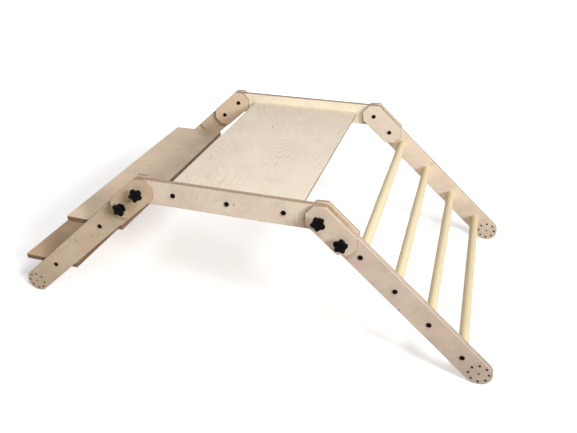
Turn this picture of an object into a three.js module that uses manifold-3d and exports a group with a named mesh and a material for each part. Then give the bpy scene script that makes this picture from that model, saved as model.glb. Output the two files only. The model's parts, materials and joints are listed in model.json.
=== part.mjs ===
// Climbing play table: a plywood platform between two sloping frames, one with two treads and one with
// four rungs. At each corner two octagonal plates clamp the round ends of two rails between them, so the
// table folds at eight pivots that star knobs hold.
// Sizes are in millimetres and +Z is up. The origin lies on the floor under the middle of the platform,
// and the near side is -Y.

import * as THREE from 'three';
import { mergeVertices } from 'three/addons/utils/BufferGeometryUtils.js';
import Module from 'manifold-3d';

const wasm = await Module();
wasm.setup();

// Layout
const INNER_WIDTH = 800;
const PIVOT_SPAN = 560;
const SLOPE = THREE.MathUtils.degToRad(42.5);

// Rails
const RAIL_WIDTH = 80;
const RAIL_THICKNESS = 18;
const EDGE_CHAMFER = 1.5;

// Hole ring at each rail end
const RING_MARGIN = 11;
const RING_HOLE_DIAMETER = 7.5;
const RING_HOLE_COUNT = 8;

// Link plates and the filler between two rail ends
const RAIL_END_SPACING = 7;
const PLATE_OVERHANG = 2.5;
const PLATE_THICKNESS = 12;
const FILLER_END_CLEARANCE = 2;
const FILLER_TOP_LENGTH = 46;

// Platform
const PLATFORM_WIDTH = 420;
const PLATFORM_THICKNESS = 12;
const PLATFORM_BOLT_INSET = 38;

// Treads
const TREAD_THICKNESS = 18;
const TREAD_FRONT = 133;
const TREAD_BACK = 74;
const TREAD_DISTANCE = 142;
const TREAD_PITCH = 281;
const TREAD_COUNT = 2;

// Housings in the rails' inner faces
const HOUSING_DEPTH = 5;
const SHELF_GROOVE_WIDTH = 13;
const SHELF_GROOVE_DISTANCE = 135;

// Rungs
const RUNG_DIAMETER = 30;
const RUNG_COUNT = 4;

// Rounded long edges of the boards
const BOARD_EDGE_RADIUS = 2;

// Furniture bolts
const BOLT_DIAMETER = 6;
const BOLT_REACH = 30;
const BOLT_HEAD_DIAMETER = 15;
const BOLT_HEAD_HEIGHT = 3;

// Clamp bolts
const CLAMP_BOLT_DIAMETER = 6;
const CLAMP_HEAD_DIAMETER = 15.5;
const CLAMP_HEAD_HEIGHT = 4.5;

// Star knobs
const KNOB_DIAMETER = 43;
const KNOB_FLUTE_DEPTH = 6;
const KNOB_STAR_HEIGHT = 14;
const KNOB_STAR_CHAMFER = 2;
const KNOB_HUB_DIAMETER = 20;
const KNOB_HUB_HEIGHT = 14;
const KNOB_BORE_DEPTH = 20;
const KNOB_LOBE_COUNT = 5;

// How far each knob is turned in its link, from +X towards +Z, in degrees: knobs stop wherever they are tight
const KNOB_TURNS = { left: { upper: 7, lower: 37 }, right: { upper: 18, lower: 56 } };

// Fits
const SEAT_GAP = 0.3;
const BOLT_CLEARANCE = 0.3;
const TIP_CLEARANCE = 1;
const CUT_OVERRUN = 2;

// Facets
const ARC_STEPS = 8;
const CORNER_STEPS = 2;
const HOLE_SIDES = 10;
const RING_HOLE_SIDES = 8;
const SHANK_SIDES = 10;
const HEAD_SIDES = 12;
const RUNG_SIDES = 24;
const HUB_SIDES = 16;
const LOBE_STEPS = 6;

// A head's crown has this share of its rim's radius, and its rim this share of the head's height
const CROWN_RADIUS_SHARE = 0.7;
const RIM_HEIGHT_SHARE = 0.5;

const NEAR = { name: 'near', outward: -1 };
const FAR = { name: 'far', outward: 1 };
const SIDES = [NEAR, FAR];
const LEFT = { name: 'left', along: -1 };
const RIGHT = { name: 'right', along: 1 };

// Sizes that follow from the rails
const linkLength = RAIL_WIDTH + RAIL_END_SPACING;
const plateWidth = RAIL_WIDTH + 2 * PLATE_OVERHANG;
const ringRadius = RAIL_WIDTH / 2 - RING_MARGIN;

// Distances from the middle plane of the table
const railInner = INNER_WIDTH / 2;
const railOuter = railInner + RAIL_THICKNESS;
const outerPlate = railOuter + SEAT_GAP;
const innerPlate = railInner - SEAT_GAP - PLATE_THICKNESS;
const clampHeadSeat = innerPlate - SEAT_GAP;
const knobSeat = outerPlate + PLATE_THICKNESS + SEAT_GAP;

// Height of the platform's pivots: both frames reach the floor with their round ends
const pivotHeight = (linkLength + PIVOT_SPAN) * Math.sin(SLOPE) + RAIL_WIDTH / 2;

function finish(color, roughness, metalness) {
  return new THREE.MeshStandardMaterial({ color, roughness, metalness, flatShading: true });
}
const plywood = finish(0xdcc8b0, 0.62, 0);
const platePly = finish(0xd9c3a8, 0.6, 0);
const rungWood = finish(0xe8d2a4, 0.55, 0);
const blackSteel = finish(0x17161a, 0.4, 0.8);
const blackPlastic = finish(0x141417, 0.5, 0);

// A closed geometry as a solid that can be joined and cut
function solidOf(geometry) {
  const bare = geometry.clone();
  bare.deleteAttribute('normal');
  bare.deleteAttribute('uv');
  const merged = mergeVertices(bare);
  return new wasm.Manifold(new wasm.Mesh({
    numProp: 3,
    vertProperties: Float32Array.from(merged.attributes.position.array),
    triVerts: Uint32Array.from(merged.index.array),
  }));
}

// A named mesh from a solid
function meshOf(name, solid, material) {
  const { vertProperties, triVerts } = solid.getMesh();
  const geometry = new THREE.BufferGeometry();
  geometry.setAttribute('position', new THREE.BufferAttribute(vertProperties, 3));
  geometry.setIndex(new THREE.BufferAttribute(triVerts, 1));
  geometry.computeVertexNormals();
  const mesh = new THREE.Mesh(geometry, material);
  mesh.name = name;
  return mesh;
}

// An outline in X and Z given a thickness along +Y, with both faces chamfered
function slab(outline, thickness, chamfer, steps = ARC_STEPS) {
  const geometry = new THREE.ExtrudeGeometry(outline, {
    depth: thickness - 2 * chamfer,
    bevelEnabled: chamfer > 0,
    bevelThickness: chamfer,
    bevelSize: chamfer,
    bevelOffset: -chamfer,
    bevelSegments: 1,
    curveSegments: steps,
  });
  geometry.translate(0, 0, chamfer);
  geometry.rotateX(Math.PI / 2);
  geometry.translate(0, thickness, 0);
  return geometry;
}

// A cylinder along Y that starts at a given place
function rod(diameter, start, length, sides, x = 0, z = 0) {
  const geometry = new THREE.CylinderGeometry(diameter / 2, diameter / 2, length, sides);
  geometry.translate(x, start + length / 2, z);
  return geometry;
}

// A round hole along Y through a slab that lies between Y = 0 and its thickness
function throughHole(x, z, diameter, thickness, sides = HOLE_SIDES) {
  return solidOf(rod(diameter, -CUT_OVERRUN, thickness + 2 * CUT_OVERRUN, sides, x, z));
}

// A blind hole in each end of a bar that lies along Y, centred on the middle plane
function endHoles(solid, barEnd, x, z) {
  const diameter = BOLT_DIAMETER + 2 * BOLT_CLEARANCE;
  const bottom = railInner - BOLT_REACH - TIP_CLEARANCE;
  const length = barEnd - bottom + CUT_OVERRUN;
  const far = solidOf(rod(diameter, bottom, length, HOLE_SIDES, x, z));
  const near = solidOf(rod(diameter, -bottom - length, length, HOLE_SIDES, x, z));
  return solid.subtract(far).subtract(near);
}

// A bar with round ends, centred on the origin
function roundEndedOutline(span, width) {
  const outline = new THREE.Shape();
  outline.absarc(span / 2, 0, width / 2, -Math.PI / 2, Math.PI / 2, false);
  outline.absarc(-span / 2, 0, width / 2, Math.PI / 2, 3 * Math.PI / 2, false);
  outline.closePath();
  return outline;
}

// The places of the index holes round one pivot
function ringPlaces(pivotX) {
  const places = [];
  for (let index = 0; index < RING_HOLE_COUNT; index += 1) {
    const angle = (index / RING_HOLE_COUNT) * 2 * Math.PI;
    places.push([pivotX + ringRadius * Math.cos(angle), ringRadius * Math.sin(angle)]);
  }
  return places;
}

// A housing cut in a rail's inner face, along the rail or turned against it
function housing(side, length, height, x, z, turn = 0) {
  const box = new THREE.BoxGeometry(length, 2 * HOUSING_DEPTH, height);
  box.rotateY(turn);
  const innerFace = side.outward > 0 ? 0 : RAIL_THICKNESS;
  box.translate(x, innerFace, z);
  return solidOf(box);
}

// A rail of the middle, step or ladder frame: its centre, its bolt places and its housings
function rail(name, side, centreX, boltPlaces, housings) {
  const blank = slab(roundEndedOutline(PIVOT_SPAN, RAIL_WIDTH), RAIL_THICKNESS, EDGE_CHAMFER);
  blank.translate(centreX, 0, 0);
  let solid = solidOf(blank);
  for (const end of [-1, 1]) {
    const pivotX = centreX + end * PIVOT_SPAN / 2;
    solid = solid.subtract(throughHole(pivotX, 0, CLAMP_BOLT_DIAMETER + 2 * BOLT_CLEARANCE, RAIL_THICKNESS));
    for (const [x, z] of ringPlaces(pivotX)) {
      solid = solid.subtract(throughHole(x, z, RING_HOLE_DIAMETER, RAIL_THICKNESS, RING_HOLE_SIDES));
    }
  }
  for (const cut of housings) {
    solid = solid.subtract(cut);
  }
  for (const x of boltPlaces) {
    solid = solid.subtract(throughHole(x, 0, BOLT_DIAMETER + 2 * BOLT_CLEARANCE, RAIL_THICKNESS));
  }
  const mesh = meshOf(name, solid, plywood);
  mesh.position.y = side.outward > 0 ? railInner : -railOuter;
  return mesh;
}

// A head with a flat crown on a shank, turned about Y: the tip is at Y = 0 and the head's seat at shankLength
function turnedBolt(diameter, shankLength, headDiameter, headHeight) {
  const shank = rod(diameter, 0, shankLength + headHeight / 2, SHANK_SIDES);
  const radius = headDiameter / 2;
  const crown = new THREE.LatheGeometry([
    new THREE.Vector2(0, shankLength),
    new THREE.Vector2(radius, shankLength),
    new THREE.Vector2(radius, shankLength + headHeight * RIM_HEIGHT_SHARE),
    new THREE.Vector2(radius * CROWN_RADIUS_SHARE, shankLength + headHeight),
    new THREE.Vector2(0, shankLength + headHeight),
  ], HEAD_SIDES);
  return solidOf(shank).add(solidOf(crown));
}

// Puts a piece that was made along +Y at a distance from the middle plane, pointing outward or inward
function placeAlong(mesh, side, x, z, distance, pointsOutward = true) {
  mesh.position.set(x, side.outward * distance, z);
  const flips = pointsOutward ? side.outward < 0 : side.outward > 0;
  mesh.rotation.x = flips ? Math.PI : 0;
  return mesh;
}

// A furniture bolt through a rail into the end of a board or rung
function furnitureBolt(name, side, x) {
  const shankLength = BOLT_REACH + RAIL_THICKNESS + SEAT_GAP;
  const solid = turnedBolt(BOLT_DIAMETER, shankLength, BOLT_HEAD_DIAMETER, BOLT_HEAD_HEIGHT);
  return placeAlong(meshOf(name, solid, blackSteel), side, x, 0, railInner - BOLT_REACH);
}

// A board that lies across the table, from its section in X and Z, with its bolt holes
function crossBoard(name, width, thickness, shiftX, boardEnd, boltPlaces) {
  const radius = BOARD_EDGE_RADIUS;
  const right = width / 2 - radius;
  const top = thickness / 2 - radius;
  const section = new THREE.Shape();
  section.absarc(right, -top, radius, -Math.PI / 2, 0, false);
  section.absarc(right, top, radius, 0, Math.PI / 2, false);
  section.absarc(-right, top, radius, Math.PI / 2, Math.PI, false);
  section.absarc(-right, -top, radius, Math.PI, 3 * Math.PI / 2, false);
  section.closePath();
  const blank = slab(section, 2 * boardEnd, 0, CORNER_STEPS / 2);
  blank.translate(shiftX, -boardEnd, 0);
  let solid = solidOf(blank);
  for (const x of boltPlaces) {
    solid = endHoles(solid, boardEnd, x, 0);
  }
  return meshOf(name, solid, plywood);
}

// Middle frame: the platform board is bolted between its rails
function middleFrame() {
  const frame = new THREE.Group();
  const outerBolt = PLATFORM_WIDTH / 2 - PLATFORM_BOLT_INSET;
  const boltPlaces = [-outerBolt, 0, outerBolt];
  for (const side of SIDES) {
    frame.add(rail(`middle_rail_${side.name}`, side, 0, boltPlaces, []));
    boltPlaces.forEach((x, index) => {
      frame.add(furnitureBolt(`platform_bolt_${side.name}_${index + 1}`, side, x));
    });
  }
  const boardEnd = railInner - SEAT_GAP;
  frame.add(crossBoard('platform_board', PLATFORM_WIDTH, PLATFORM_THICKNESS, 0, boardEnd, boltPlaces));
  return frame;
}

// A link plate over both pivots of a joint, from the upper pivot at the origin
function linkPlate(name, end, distance, side) {
  const halfWidth = plateWidth / 2;
  const cornerShift = halfWidth * Math.tan(Math.PI / 8);
  const halfLink = linkLength / 2;
  const outline = new THREE.Shape([
    new THREE.Vector2(halfLink + halfWidth, -cornerShift),
    new THREE.Vector2(halfLink + halfWidth, cornerShift),
    new THREE.Vector2(halfLink + cornerShift, halfWidth),
    new THREE.Vector2(-halfLink - cornerShift, halfWidth),
    new THREE.Vector2(-halfLink - halfWidth, cornerShift),
    new THREE.Vector2(-halfLink - halfWidth, -cornerShift),
    new THREE.Vector2(-halfLink - cornerShift, -halfWidth),
    new THREE.Vector2(halfLink + cornerShift, -halfWidth),
  ]);
  let solid = solidOf(slab(outline, PLATE_THICKNESS, EDGE_CHAMFER));
  const diameter = CLAMP_BOLT_DIAMETER + 2 * BOLT_CLEARANCE;
  for (const x of [-halfLink, halfLink]) {
    solid = solid.subtract(throughHole(x, 0, diameter, PLATE_THICKNESS));
  }
  const mesh = meshOf(name, solid, platePly);
  mesh.position.x = end.along * halfLink;
  mesh.position.y = side.outward > 0 ? distance : -distance - PLATE_THICKNESS;
  return mesh;
}

// The filler between two round rail ends: flush top and bottom, blunt tips and hollow ends
function filler(name, end, side) {
  const halfLink = linkLength / 2;
  const hollow = RAIL_WIDTH / 2 + FILLER_END_CLEARANCE;
  const tip = FILLER_TOP_LENGTH / 2;
  const halfAngle = Math.acos((halfLink - tip) / hollow);
  const outline = new THREE.Shape();
  outline.moveTo(-tip, -RAIL_WIDTH / 2);
  outline.lineTo(tip, -RAIL_WIDTH / 2);
  outline.absarc(halfLink, 0, hollow, Math.PI + halfAngle, Math.PI - halfAngle, true);
  outline.lineTo(tip, RAIL_WIDTH / 2);
  outline.lineTo(-tip, RAIL_WIDTH / 2);
  outline.absarc(-halfLink, 0, hollow, halfAngle, -halfAngle, true);
  outline.closePath();
  const mesh = meshOf(name, solidOf(slab(outline, RAIL_THICKNESS, 0, ARC_STEPS / 2)), plywood);
  mesh.position.x = end.along * halfLink;
  mesh.position.y = side.outward > 0 ? railInner : -railOuter;
  return mesh;
}

// A clamp bolt from its head on the inner plate into the knob
function clampBolt(name, side, x) {
  const tip = knobSeat + KNOB_BORE_DEPTH - TIP_CLEARANCE;
  const solid = turnedBolt(CLAMP_BOLT_DIAMETER, tip - clampHeadSeat, CLAMP_HEAD_DIAMETER, CLAMP_HEAD_HEIGHT);
  return placeAlong(meshOf(name, solid, blackSteel), side, x, 0, tip, false);
}

// The outline of a knob's star: the radius swings between lobes and flutes, with one lobe at the given turn
function starOutline(turn) {
  const outline = new THREE.Shape();
  const middleRadius = KNOB_DIAMETER / 2 - KNOB_FLUTE_DEPTH / 2;
  const steps = KNOB_LOBE_COUNT * LOBE_STEPS;
  for (let step = 0; step < steps; step += 1) {
    const angle = (step / steps) * 2 * Math.PI;
    const radius = middleRadius + (KNOB_FLUTE_DEPTH / 2) * Math.cos(KNOB_LOBE_COUNT * angle);
    const point = [radius * Math.cos(angle + turn), radius * Math.sin(angle + turn)];
    if (step === 0) {
      outline.moveTo(...point);
    } else {
      outline.lineTo(...point);
    }
  }
  outline.closePath();
  return outline;
}

// A star knob on its hub, with a blind bore for the bolt
function starKnob(name, side, x, turnDegrees) {
  const turn = side.outward * THREE.MathUtils.degToRad(turnDegrees);
  const star = slab(starOutline(turn), KNOB_STAR_HEIGHT, KNOB_STAR_CHAMFER);
  star.translate(0, KNOB_HUB_HEIGHT, 0);
  const hub = rod(KNOB_HUB_DIAMETER, 0, KNOB_HUB_HEIGHT + KNOB_STAR_HEIGHT / 2, HUB_SIDES);
  const boreDiameter = CLAMP_BOLT_DIAMETER + 2 * BOLT_CLEARANCE;
  const bore = rod(boreDiameter, -CUT_OVERRUN, KNOB_BORE_DEPTH + CUT_OVERRUN, HOLE_SIDES);
  const solid = solidOf(star).add(solidOf(hub)).subtract(solidOf(bore));
  return placeAlong(meshOf(name, solid, blackPlastic), side, x, 0, knobSeat);
}

// One link: the plates, fillers, clamp bolts and knobs of both sides, from the upper pivot at the origin
function link(end) {
  const group = new THREE.Group();
  const pivots = [['upper', 0], ['lower', end.along * linkLength]];
  for (const side of SIDES) {
    group.add(linkPlate(`${end.name}_plate_${side.name}_outer`, end, outerPlate, side));
    group.add(linkPlate(`${end.name}_plate_${side.name}_inner`, end, innerPlate, side));
    group.add(filler(`${end.name}_filler_${side.name}`, end, side));
    for (const [level, x] of pivots) {
      group.add(clampBolt(`${end.name}_clamp_bolt_${side.name}_${level}`, side, x));
      group.add(starKnob(`${end.name}_knob_${side.name}_${level}`, side, x, KNOB_TURNS[end.name][level]));
    }
  }
  return group;
}

// Step frame: its rails run towards -X from the link's lower pivot. Each level tread has one bolt at each
// end, and sits in housings that keep it from turning.
function stepFrame() {
  const frame = new THREE.Group();
  const places = [];
  for (let index = 0; index < TREAD_COUNT; index += 1) {
    places.push(LEFT.along * (TREAD_DISTANCE + index * TREAD_PITCH));
  }
  const names = ['upper_tread', 'lower_tread'];
  const seatLength = 2 * RAIL_WIDTH / Math.sin(SLOPE);
  const seatHeight = TREAD_THICKNESS + 2 * SEAT_GAP;
  for (const side of SIDES) {
    const cuts = places.map((x) => housing(side, seatLength, seatHeight, x, 0, SLOPE));
    const grooveLength = RAIL_WIDTH / 2 + CUT_OVERRUN;
    const grooveX = LEFT.along * SHELF_GROOVE_DISTANCE;
    cuts.push(housing(side, SHELF_GROOVE_WIDTH, grooveLength, grooveX, grooveLength / 2));
    frame.add(rail(`step_rail_${side.name}`, side, LEFT.along * PIVOT_SPAN / 2, places, cuts));
    places.forEach((x, index) => frame.add(furnitureBolt(`tread_bolt_${side.name}_${index + 1}`, side, x)));
  }
  const width = TREAD_FRONT + TREAD_BACK;
  const shiftX = (TREAD_BACK - TREAD_FRONT) / 2;
  const treadEnd = railInner + HOUSING_DEPTH - SEAT_GAP;
  places.forEach((x, index) => {
    const tread = crossBoard(names[index], width, TREAD_THICKNESS, shiftX, treadEnd, [0]);
    tread.position.x = x;
    tread.rotation.y = SLOPE;
    frame.add(tread);
  });
  return frame;
}

// Ladder frame: its rails run towards +X from the link's lower pivot, with the rungs spaced evenly
function ladderFrame() {
  const frame = new THREE.Group();
  const places = [];
  for (let index = 0; index < RUNG_COUNT; index += 1) {
    places.push(RIGHT.along * PIVOT_SPAN * (index + 0.5) / RUNG_COUNT);
  }
  for (const side of SIDES) {
    frame.add(rail(`ladder_rail_${side.name}`, side, RIGHT.along * PIVOT_SPAN / 2, places, []));
    places.forEach((x, index) => frame.add(furnitureBolt(`rung_bolt_${side.name}_${index + 1}`, side, x)));
  }
  const rungEnd = railInner - SEAT_GAP;
  places.forEach((x, index) => {
    const bar = solidOf(rod(RUNG_DIAMETER, -rungEnd, 2 * rungEnd, RUNG_SIDES));
    const rung = meshOf(`rung_${index + 1}`, endHoles(bar, rungEnd, 0, 0), rungWood);
    rung.position.x = x;
    frame.add(rung);
  });
  return frame;
}

// Puts a link at the platform's pivot and a frame at the link's lower pivot, both down the slope
function hang(end, frame) {
  const joint = link(end);
  joint.position.x = end.along * PIVOT_SPAN / 2;
  joint.rotation.y = end.along * SLOPE;
  frame.position.x = end.along * linkLength;
  joint.add(frame);
  return joint;
}

const table = new THREE.Group();
const middle = middleFrame();
middle.position.z = pivotHeight;
middle.add(hang(LEFT, stepFrame()));
middle.add(hang(RIGHT, ladderFrame()));
table.add(middle);

export default table;
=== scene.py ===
# %% [markdown]
# # Climbing play table
# A birch plywood platform stands between two sloping frames: one with two treads, one with four rungs.
# The CAD model is loaded first, as a fixed frame. Every piece made below takes its place from it, in metres,
# so nothing has to be fitted by eye.

import json
import math

import bmesh
import bpy
from mathutils import Matrix, Vector


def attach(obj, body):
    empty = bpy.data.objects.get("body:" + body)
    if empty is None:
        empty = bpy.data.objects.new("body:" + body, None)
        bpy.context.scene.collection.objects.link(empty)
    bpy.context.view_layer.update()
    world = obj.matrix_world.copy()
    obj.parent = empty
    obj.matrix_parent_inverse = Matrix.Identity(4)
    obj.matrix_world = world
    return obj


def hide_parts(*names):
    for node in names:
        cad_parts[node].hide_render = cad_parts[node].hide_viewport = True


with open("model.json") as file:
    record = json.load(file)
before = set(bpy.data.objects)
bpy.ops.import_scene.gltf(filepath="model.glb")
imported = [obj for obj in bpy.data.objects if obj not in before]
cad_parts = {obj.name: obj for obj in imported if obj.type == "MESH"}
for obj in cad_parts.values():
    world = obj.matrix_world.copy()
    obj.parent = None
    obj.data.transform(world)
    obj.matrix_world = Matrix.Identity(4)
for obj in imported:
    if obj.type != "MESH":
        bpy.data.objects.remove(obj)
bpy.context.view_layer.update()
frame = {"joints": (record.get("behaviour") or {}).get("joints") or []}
scene = bpy.context.scene

# %% [markdown]
# ## Camera
# The camera stands to the right of the table, a little above a grown-up's waist. Its place, turn and lens come
# from fitting the table's bolts and edges to the picture, which is safer than turning it by eye.

# %% Camera


def new_object(name, data):
    """An object in the scene, at the origin."""
    item = bpy.data.objects.new(name, data)
    scene.collection.objects.link(item)
    return item


optics = bpy.data.cameras.new("Camera")
optics.sensor_width = 36
optics.lens = 37.6876
optics.shift_x = 0.019631
optics.shift_y = -0.029882
camera = new_object("Camera", optics)
camera.location = (0.625067, -1.809902, 1.325573)
camera.rotation_euler = [math.radians(angle) for angle in (61.19576, 0.78248, 18.27250)]
scene.camera = camera
scene.view_settings.view_transform = "Standard"
print("camera height:", camera.location.z)

# %% [markdown]
# ## Colours and nodes
# A colour is easiest to choose as a hex value, but the shaders count in linear light, so one function turns it.
# The other adds a node with its settings, and links or fills its inputs.

# %% Colour and node helpers


def colour(code):
    """A linear colour from an sRGB hex code."""
    values = [int(code[i:i + 2], 16) / 255 for i in (1, 3, 5)]
    return [v / 12.92 if v <= 0.04045 else ((v + 0.055) / 1.055) ** 2.4 for v in values] + [1]


def add_node(tree, kind, inputs=None, **settings):
    """Adds a node, with its settings and with links or values for its inputs."""
    node = tree.nodes.new(kind)
    for key, value in settings.items():
        setattr(node, key, value)
    for key, value in (inputs or {}).items():
        if isinstance(value, bpy.types.NodeSocket):
            tree.links.new(value, node.inputs[key])
        else:
            node.inputs[key].default_value = value
    return node


print("white turns to", colour("#ffffff")[:3])

# %% [markdown]
# ## Short names for common nodes
# A natural surface is mostly sums: a noise is squeezed into a range, and the result mixes two colours or sets the
# gloss. Each of these steps gets a short name, so a material further on reads like its own description.

# %% Common nodes


def new_material(name):
    """A material with an empty tree, and that tree."""
    material = bpy.data.materials.new(name)
    material.use_nodes = True
    material.node_tree.nodes.clear()
    return material, material.node_tree


def maths(tree, operation, one, other=0.0):
    """The result of a sum. A few, such as FLOOR, look at the first value alone."""
    return add_node(tree, "ShaderNodeMath", {0: one, 1: other}, operation=operation).outputs[0]


def ranged(tree, value, from_min, from_max, to_min=0.0, to_max=1.0, **settings):
    """A value brought from one range to another, and kept inside it."""
    return add_node(tree, "ShaderNodeMapRange",
                    {"Value": value, "From Min": from_min, "From Max": from_max, "To Min": to_min,
                     "To Max": to_max}, **settings).outputs[0]


def blend(tree, factor, one, other):
    """A mix of two colours."""
    return add_node(tree, "ShaderNodeMix", {"Factor": factor, "A": one, "B": other},
                    data_type="RGBA").outputs["Result"]


def tinted(tree, one, other):
    """A colour multiplied by another, or by a number."""
    return add_node(tree, "ShaderNodeVectorMath", {0: one, 1: other}, operation="MULTIPLY").outputs[0]


def object_place(tree):
    """Where a point lies on its own piece, in metres."""
    return add_node(tree, "ShaderNodeTexCoord").outputs["Object"]


def surface(tree, tone, roughness, height, strength, depth, **inputs):
    """Ends a material's tree: tone and roughness, over a relief that is depth metres deep."""
    relief = add_node(tree, "ShaderNodeBump", {"Height": height, "Strength": strength, "Distance": depth})
    shader = add_node(tree, "ShaderNodeBsdfPrincipled",
                      {"Base Color": tone, "Roughness": roughness, "Normal": relief.outputs[0], **inputs})
    add_node(tree, "ShaderNodeOutputMaterial", {"Surface": shader.outputs[0]})


def seen_directly(tree):
    """1 for what the camera sees, plainly, in gloss or through glass, and 0 for all other light."""
    rays = add_node(tree, "ShaderNodeLightPath").outputs
    seen = maths(tree, "MAXIMUM", rays["Is Camera Ray"], rays["Is Glossy Ray"])
    return maths(tree, "MAXIMUM", seen, rays["Is Transmission Ray"])


print("materials so far:", len(bpy.data.materials))

# %% [markdown]
# ## Floor and backdrop
# The table stands on a plain pale floor. What the camera sees of it is lifted to white, and more so further out
# where less lamp light falls, so that only the soft shadow shows. The light that the floor sends back to the wood
# stays that of a pale beige floor.

# %% Floor
FLOOR_REACH = 12  # m to each side
LIFT_FROM, LIFT_TO = 0.9, 2.4  # m from the middle
LIFT_NEAR, LIFT_FAR = 0.5, 0.95  # of pure white

floor_material, tree = new_material("Pale matt floor")
plain = add_node(tree, "ShaderNodeBsdfDiffuse", {"Color": colour("#b99f85")})
bright = add_node(tree, "ShaderNodeBsdfDiffuse", {"Color": colour("#f4f4f4")})
from_table = add_node(tree, "ShaderNodeVectorMath", {0: object_place(tree)}, operation="LENGTH").outputs["Value"]
lift_share = ranged(tree, from_table, LIFT_FROM, LIFT_TO, LIFT_NEAR, LIFT_FAR, interpolation_type="SMOOTHSTEP")
lift = add_node(tree, "ShaderNodeEmission", {"Color": colour("#ffffff"), "Strength": lift_share})
lifted = add_node(tree, "ShaderNodeAddShader", {0: bright.outputs[0], 1: lift.outputs[0]})
mix = add_node(tree, "ShaderNodeMixShader", {0: seen_directly(tree), 1: plain.outputs[0], 2: lifted.outputs[0]})
add_node(tree, "ShaderNodeOutputMaterial", {"Surface": mix.outputs[0]})

floor_mesh = bpy.data.meshes.new("Floor")
corners = [(x * FLOOR_REACH, y * FLOOR_REACH, 0) for x, y in ((-1, -1), (1, -1), (1, 1), (-1, 1))]
floor_mesh.from_pydata(corners, [], [(0, 1, 2, 3)])
floor_mesh.materials.append(floor_material)
floor = new_object("Floor", floor_mesh)
print("floor:", floor.dimensions[:2])

# %% [markdown]
# ## Light
# The picture has daylight low from the right, and a lamp above that is near enough to leave high parts brighter
# than low ones. A wide sun gives the first, with shadows as soft as it is wide, and a round panel over the near
# side gives the second. A very wide, weak sun from behind keeps the far sides from going dark.

# %% Lamps


def add_lamp(name, kind, energy, source, **settings):
    """A lamp whose light comes from the direction of source."""
    light = bpy.data.lights.new(name, kind)
    light.energy = energy
    for key, value in settings.items():
        setattr(light, key, value)
    lamp = new_object(name, light)
    lamp.rotation_euler = Vector(source).to_track_quat("Z", "Y").to_euler()
    return lamp


window = add_lamp("Window light", "SUN", 2.7, (0.81, -0.44, 0.42), angle=math.radians(16),
                  color=colour("#fffdfa")[:3])
panel_above = add_lamp("Panel above", "AREA", 32, (0.9, -1.0, 1.75), shape="DISK", size=0.9)
panel_above.location = (0.9, -1.0, 2.1)
fill = add_lamp("Fill from behind", "SUN", 0.8, (-0.15, 0.95, 0.22), angle=math.radians(90))
print("lamps:", window.name, "/", panel_above.name, "/", fill.name)

# %% [markdown]
# ## Sky
# A faint warm sky fills the shadows evenly. The camera and the gloss on things see plain white in its place, so
# the backdrop is white and yet adds no light to the table.

# %% Sky
world = bpy.data.worlds.new("Pale sky")
scene.world = world
world.use_nodes = True
tree = world.node_tree
tree.nodes.clear()
sky = add_node(tree, "ShaderNodeBackground", {"Color": colour("#f4ede2"), "Strength": 0.12})
white = add_node(tree, "ShaderNodeBackground", {"Color": colour("#ffffff"), "Strength": 1.0})
mix = add_node(tree, "ShaderNodeMixShader", {0: seen_directly(tree), 1: sky.outputs[0], 2: white.outputs[0]})
add_node(tree, "ShaderNodeOutputWorld", {"Surface": mix.outputs[0]})
print("sky nodes:", len(tree.nodes))

# %% [markdown]
# ## Sizes and places
# All sizes are the CAD model's, in millimetres. Each sloping frame is drawn lying flat, with its first pivot at the
# origin, and then turned down the slope and hung at its pivot, which the CAD model's joints give.

# %% Sizes and places
MM = 0.001
RAIL = {"width": 80, "thickness": 18, "arris": 2.0}
PLATE = {"width": 85, "thickness": 12, "arris": 1.6}
FILLER = {"clearance": 2.0, "top": 46, "thickness": 18, "arris": 0.8}
BOARD = {"ends": (-210, 210), "thickness": 12, "arris": 1.2, "corner": 3.0}
TREAD = {"ends": (-133, 74), "thickness": 18, "arris": 2.0, "corner": 4.0}  # ends as seen from its bolt
LINK = 87  # from pivot to pivot
INNER = 400  # from the middle plane to a rail's inner face
SEAT = 0.3  # between pieces that are clamped together
SLOPE = math.radians(42.5)

PIVOTS = {joint["name"]: Vector(joint["pos_m"]) for joint in frame["joints"]}
SIGN = {"left": -1, "right": 1}
OUTWARD = {"near": -1, "far": 1}


def slope_at(level, end):
    """From a sloping part's drawing to its place: X runs down the slope to the right, or up it to the left."""
    point = PIVOTS[f"{end}_{level}_fold"]
    turn = Matrix.Rotation(SIGN[end] * SLOPE, 4, "Y")
    return Matrix.Translation((point.x, 0, point.z)) @ turn @ Matrix.Scale(MM, 4)


FRAMES = {
    "middle": Matrix.Translation((0, 0, PIVOTS["left_upper_fold"].z)) @ Matrix.Scale(MM, 4),
    "step": slope_at("lower", "left"),
    "ladder": slope_at("lower", "right"),
}
LINKS = {end: slope_at("upper", end) for end in SIGN}
print("pivots:", len(PIVOTS))

# %% [markdown]
# ## Turned and lofted shapes
# Bolts, drills, rungs and knobs are all stacks of rings: the rings are joined by quads and both ends are closed.
# A ring need not be round, so the same function turns a bolt and lofts a star knob.

# %% Stack of rings


def stack_rings(name, rings):
    """A closed mesh from rings of points, one above the other."""
    bm = bmesh.new()
    rows = [[bm.verts.new(point) for point in ring] for ring in rings]
    count = len(rows[0])
    for low, high in zip(rows, rows[1:]):
        for i in range(count):
            bm.faces.new((low[i], low[(i + 1) % count], high[(i + 1) % count], high[i]))
    bm.faces.new(rows[0][::-1])
    bm.faces.new(rows[-1])
    bmesh.ops.recalc_face_normals(bm, faces=bm.faces)
    mesh = bpy.data.meshes.new(name)
    bm.to_mesh(mesh)
    bm.free()
    return mesh


def round_rings(profile, sides):
    """Rings about Z, from pairs of radius and height."""
    turns = [math.tau * i / sides for i in range(sides)]
    return [[(radius * math.cos(a), radius * math.sin(a), height) for a in turns] for radius, height in profile]


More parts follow.
